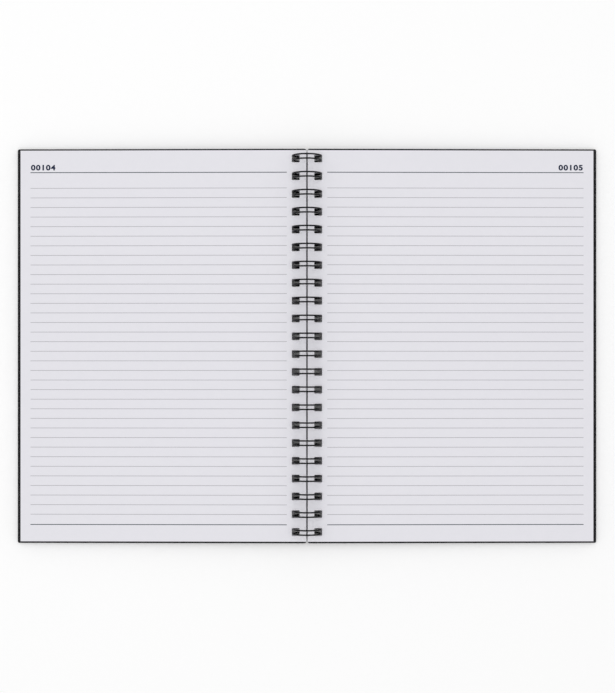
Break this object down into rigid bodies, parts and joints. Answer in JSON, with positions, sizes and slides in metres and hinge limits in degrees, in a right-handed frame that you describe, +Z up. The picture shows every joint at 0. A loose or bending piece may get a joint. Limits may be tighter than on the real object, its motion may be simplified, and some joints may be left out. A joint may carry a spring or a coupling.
{
  "type": "open spiral notebook",
  "caption": "Twin-loop wire-bound notebook lying open face up, with board covers, ruled leaves on both sides and a slotted spine edge.",
  "frame": {"origin": "on the table, under the middle of the binding", "axes": "+X towards the right-hand page's fore-edge, +Y along the binding to the head of the pages, +Z up out of the pages"},
  "size_m": [0.416, 0.283, 0.0212],
  "materials": {
    "cover_board": "black leather-grain book covering over greyboard",
    "paper": "uncoated cool white writing paper",
    "coated_wire": "black nylon-coated steel wire, satin",
    "rule_ink": "pale grey printing ink",
    "end_rule_ink": "dark slate printing ink"
  },
  "bodies": {
    "back_cover": {"back_cover": "cover_board"},
    "front_cover": {"front_cover": "cover_board"},
    "right_pages": {"right_pages": "paper", "right_rules": "rule_ink", "right_end_rules": "end_rule_ink"},
    "left_pages": {"left_pages": "paper", "left_rules": "rule_ink", "left_end_rules": "end_rule_ink"},
    "wire_binding": {"wire_binding": "coated_wire"}
  },
  "joints": [
    {"name": "wire_roll", "type": "hinge", "parent": "back_cover", "child": "wire_binding", "pos_m": [0, 0, 0.01062], "axis": [0, 1, 0], "range_deg": [-20, 20]},
    {"name": "front_cover_turn", "type": "hinge", "parent": "back_cover", "child": "front_cover", "pos_m": [0, 0, 0.01062], "axis": [0, 1, 0], "range_deg": [-5, 181.6]},
    {"name": "left_pages_turn", "type": "hinge", "parent": "front_cover", "child": "left_pages", "pos_m": [0, 0, 0.01062], "axis": [0, 1, 0], "range_deg": [0, 180]},
    {"name": "right_pages_turn", "type": "hinge", "parent": "back_cover", "child": "right_pages", "pos_m": [0, 0, 0.01062], "axis": [0, -1, 0], "range_deg": [0, 180]}
  ]
}
